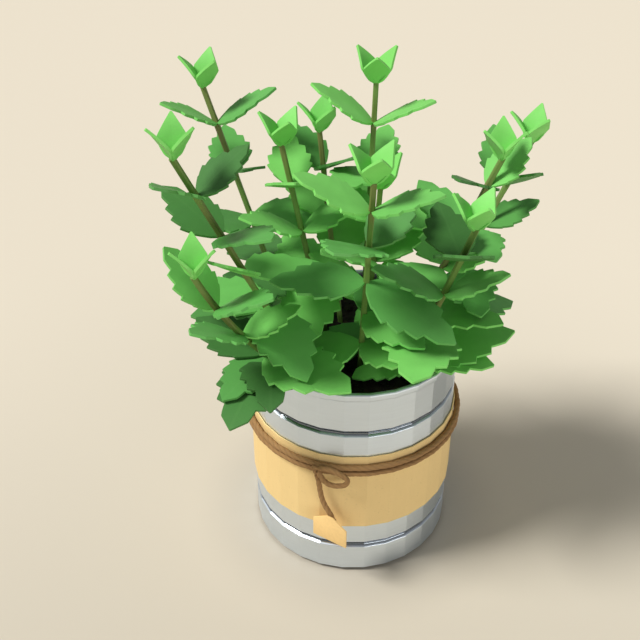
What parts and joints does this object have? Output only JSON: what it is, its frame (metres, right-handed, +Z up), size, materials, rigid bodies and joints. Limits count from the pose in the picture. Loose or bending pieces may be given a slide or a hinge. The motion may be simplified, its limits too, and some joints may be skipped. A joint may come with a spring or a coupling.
{
  "type": "potted mint",
  "caption": "Bushy mint with toothed leaves on square stems, planted in soil in a ribbed tin can dressed with a paper band, twine and a card tag.",
  "frame": {"origin": "centre of the can's flat foot, on the surface it stands on", "axes": "+Z up along the can's axis; -Y faces the front, where the twine's bow and the tag hang"},
  "size_m": [0.1738, 0.1435, 0.2428],
  "materials": {
    "tin": "tinplate, satin with soft reflections",
    "soil": "moist dark potting soil, matt and crumbly",
    "kraft_paper": "uncoated kraft paper, matt",
    "twine": "twisted jute, fibrous and matt",
    "card": "plain card, matt",
    "leaf_light": "fresh mint leaf, soft satin",
    "leaf_mid": "mint leaf, soft satin",
    "leaf_dark": "older mint leaf, soft satin"
  },
  "bodies": {
    "root": {"can": "tin", "soil": "soil", "paper_band": "kraft_paper", "twine": "twine", "twine_tail": "twine", "card_tag": "card", "mint_stem_01": "leaf_mid", "mint_stem_02": "leaf_light", "mint_stem_03": "leaf_dark", "mint_stem_04": "leaf_dark", "mint_stem_05": "leaf_dark", "mint_stem_06": "leaf_light", "mint_stem_07": "leaf_light", "mint_stem_08": "leaf_dark", "mint_stem_09": "leaf_mid", "mint_stem_10": "leaf_dark", "mint_stem_11": "leaf_light"}
  },
  "joints": []
}
